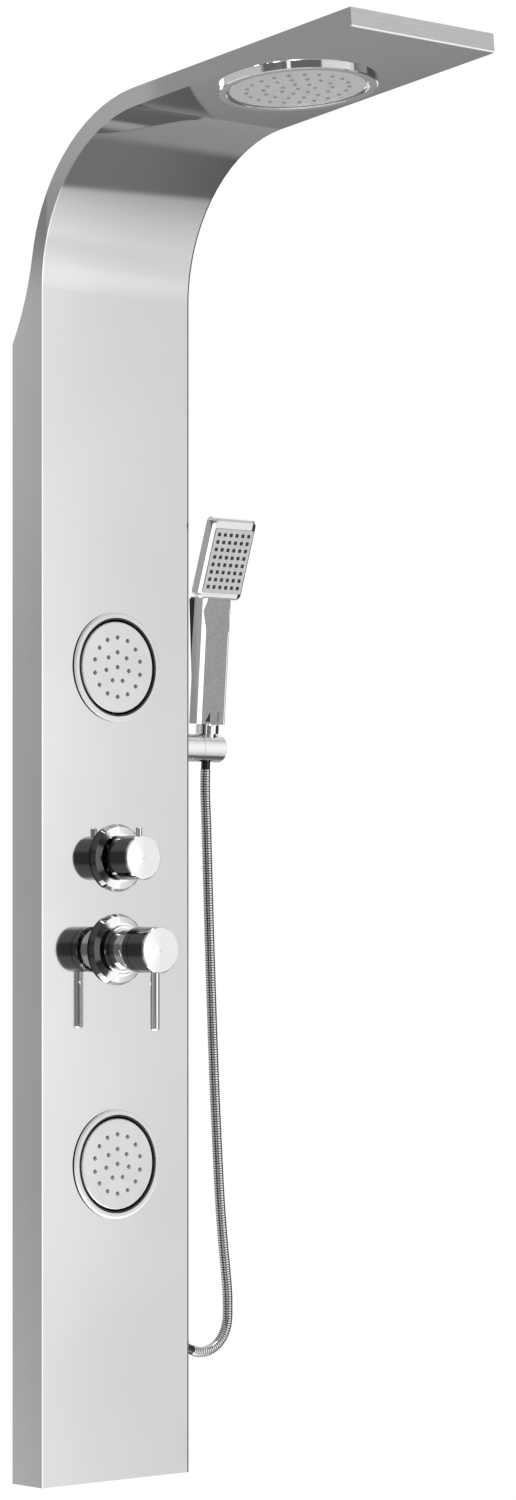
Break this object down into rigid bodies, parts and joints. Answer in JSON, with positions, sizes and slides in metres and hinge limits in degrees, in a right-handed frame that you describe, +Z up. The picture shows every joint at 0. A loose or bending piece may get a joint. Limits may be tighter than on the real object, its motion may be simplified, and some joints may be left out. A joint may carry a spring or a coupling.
{
  "type": "shower panel column",
  "caption": "Wall-hung steel shower column with an overhead rain arm, swivelling body jets, a diverter, a lever mixer and a hand shower on a side holder.",
  "frame": {"origin": "midway between the upper wall bracket's two holes, on the wall", "axes": "+X right seen from the front, +Y into the wall, +Z up"},
  "size_m": [0.2823, 0.526, 1.4706],
  "materials": {
    "polished_steel": "polished",
    "brushed_steel": "brushed",
    "zinc_steel": "zinc plated",
    "satin_plate": "satin",
    "chrome": "polished",
    "plated_plastic": "satin chrome plating",
    "moulded_plastic": "moulded",
    "nozzle_rubber": "matt",
    "gasket_rubber": "matt",
    "brass": "cast",
    "hose_steel": "polished metal hose"
  },
  "bodies": {
    "column": {"front_panel": "polished_steel", "arm_top_cover": "polished_steel", "arm_end_cap": "brushed_steel", "foot_cap": "polished_steel", "upper_wall_bracket": "zinc_steel", "lower_wall_bracket": "zinc_steel", "upper_hanger_rail": "zinc_steel", "lower_hanger_rail": "zinc_steel", "rail_rivets": "chrome", "rain_bezel": "chrome", "rain_face": "satin_plate", "rain_nozzle_mat": "nozzle_rubber", "rain_chamber": "moulded_plastic", "rain_union_nut": "brass", "upper_jet_bezel": "chrome", "upper_jet_socket": "moulded_plastic", "lower_jet_bezel": "chrome", "lower_jet_socket": "moulded_plastic", "jet_gaskets": "gasket_rubber", "diverter_flange": "chrome", "diverter_nut": "chrome", "diverter_body": "brass", "mixer_flange": "chrome", "mixer_sleeve": "chrome", "mixer_body": "brass", "mixer_cartridge": "moulded_plastic", "mixer_link_tube": "brass", "jet_manifold": "brass", "rain_feed_tube": "brass", "hand_feed_tube": "brass", "holder_base": "chrome", "holder_nut": "chrome", "holder_pivot_pin": "chrome", "hand_outlet": "brass", "lower_hose_nut": "chrome", "shower_hose": "hose_steel"},
    "upper_jet_swivel": {"upper_jet_ball": "moulded_plastic"},
    "upper_jet_head": {"upper_jet_face": "satin_plate", "upper_jet_nozzles": "nozzle_rubber", "upper_jet_hub": "moulded_plastic"},
    "lower_jet_swivel": {"lower_jet_ball": "moulded_plastic"},
    "lower_jet_head": {"lower_jet_face": "satin_plate", "lower_jet_nozzles": "nozzle_rubber", "lower_jet_hub": "moulded_plastic"},
    "diverter_control": {"diverter_spindle": "chrome", "diverter_knob": "chrome", "diverter_cap": "chrome", "diverter_pin": "chrome", "diverter_grub_screw": "chrome"},
    "mixer_turntable": {"mixer_guide": "brass", "mixer_hinge_pin": "chrome"},
    "mixer_control": {"mixer_stem": "chrome", "mixer_handle": "chrome", "mixer_cap": "chrome", "mixer_lever": "chrome"},
    "holder_socket": {"holder_head": "chrome"},
    "hand_shower": {"handset_body": "plated_plastic", "handset_face": "satin_plate", "handset_nozzles": "nozzle_rubber", "hose_cone_nut": "chrome"}
  },
  "joints": [
    {"name": "upper_jet_pan", "type": "hinge", "parent": "column", "child": "upper_jet_swivel", "pos_m": [0, -0.0375, -0.239], "axis": [0, 0, 1], "range_deg": [-8, 8]},
    {"name": "upper_jet_tilt", "type": "hinge", "parent": "upper_jet_swivel", "child": "upper_jet_head", "pos_m": [0, -0.0375, -0.239], "axis": [1, 0, 0], "range_deg": [-8, 8]},
    {"name": "lower_jet_pan", "type": "hinge", "parent": "column", "child": "lower_jet_swivel", "pos_m": [0, -0.0375, -0.765], "axis": [0, 0, 1], "range_deg": [-8, 8]},
    {"name": "lower_jet_tilt", "type": "hinge", "parent": "lower_jet_swivel", "child": "lower_jet_head", "pos_m": [0, -0.0375, -0.765], "axis": [1, 0, 0], "range_deg": [-8, 8]},
    {"name": "diverter_turn", "type": "hinge", "parent": "column", "child": "diverter_control", "pos_m": [0, -0.05, -0.441], "axis": [0, -1, 0], "range_deg": [-90, 90]},
    {"name": "mixer_temperature", "type": "hinge", "parent": "column", "child": "mixer_turntable", "pos_m": [0, -0.05, -0.538], "axis": [0, -1, 0], "range_deg": [-45, 45]},
    {"name": "mixer_flow", "type": "hinge", "parent": "mixer_turntable", "child": "mixer_control", "pos_m": [0, -0.08, -0.538], "axis": [-1, 0, 0], "range_deg": [0, 20]},
    {"name": "holder_tilt", "type": "hinge", "parent": "column", "child": "holder_socket", "pos_m": [0.1325, -0.025, -0.32], "axis": [1, 0, 0], "range_deg": [-15, 15], "deforming": ["shower_hose"]},
    {"name": "handset_lift", "type": "slide", "parent": "holder_socket", "child": "hand_shower", "axis": [0, -0.0767, 0.9971], "range_m": [0, 0.06], "deforming": ["shower_hose"]}
  ]
}
